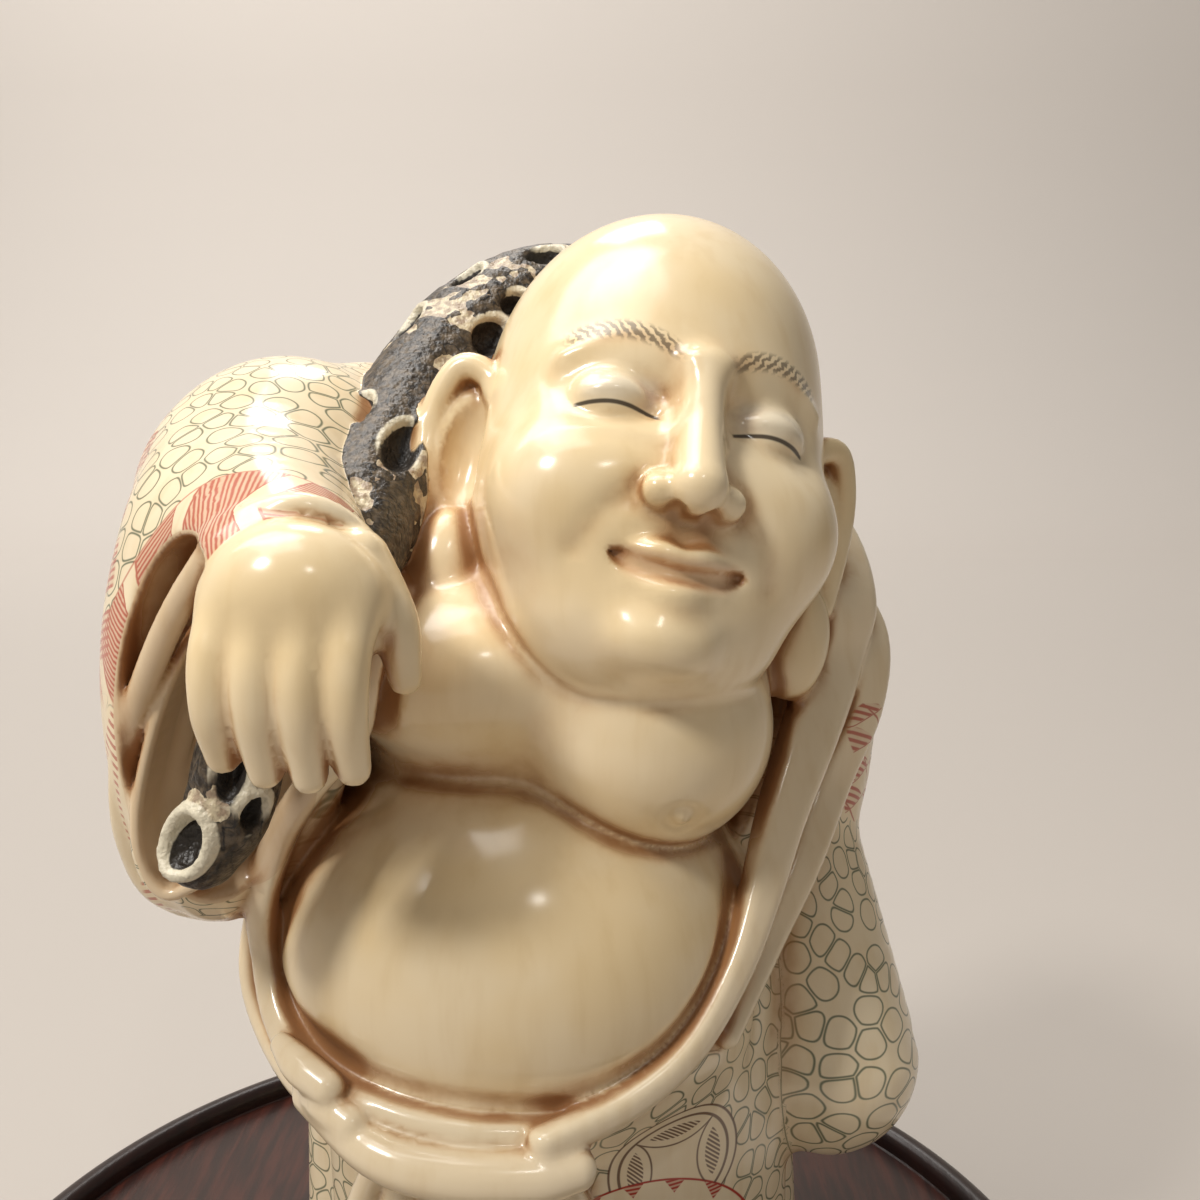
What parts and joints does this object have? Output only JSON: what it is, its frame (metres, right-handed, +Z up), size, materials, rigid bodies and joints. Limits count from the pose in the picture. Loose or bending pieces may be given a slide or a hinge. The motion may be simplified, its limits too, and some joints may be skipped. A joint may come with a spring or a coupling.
{
  "type": "hotei figure",
  "caption": "Carved standing figure of Hotei, bare-bellied in a loose robe with a gnarled staff over one shoulder, on a round lipped wooden stand.",
  "frame": {"origin": "centre of the stand's flat underside", "axes": "+Z up, the figure faces -Y, its left hand is towards +X"},
  "size_m": [0.12, 0.12, 0.1251],
  "materials": {
    "hotei_figure": "polished cream ivory-like carving, stained in the folds, with engraved and inked patterns and a dark staff",
    "wood_stand": "dark reddish-brown polished wood"
  },
  "bodies": {
    "root": {"hotei_figure": "hotei_figure", "wood_stand": "wood_stand"}
  },
  "joints": []
}
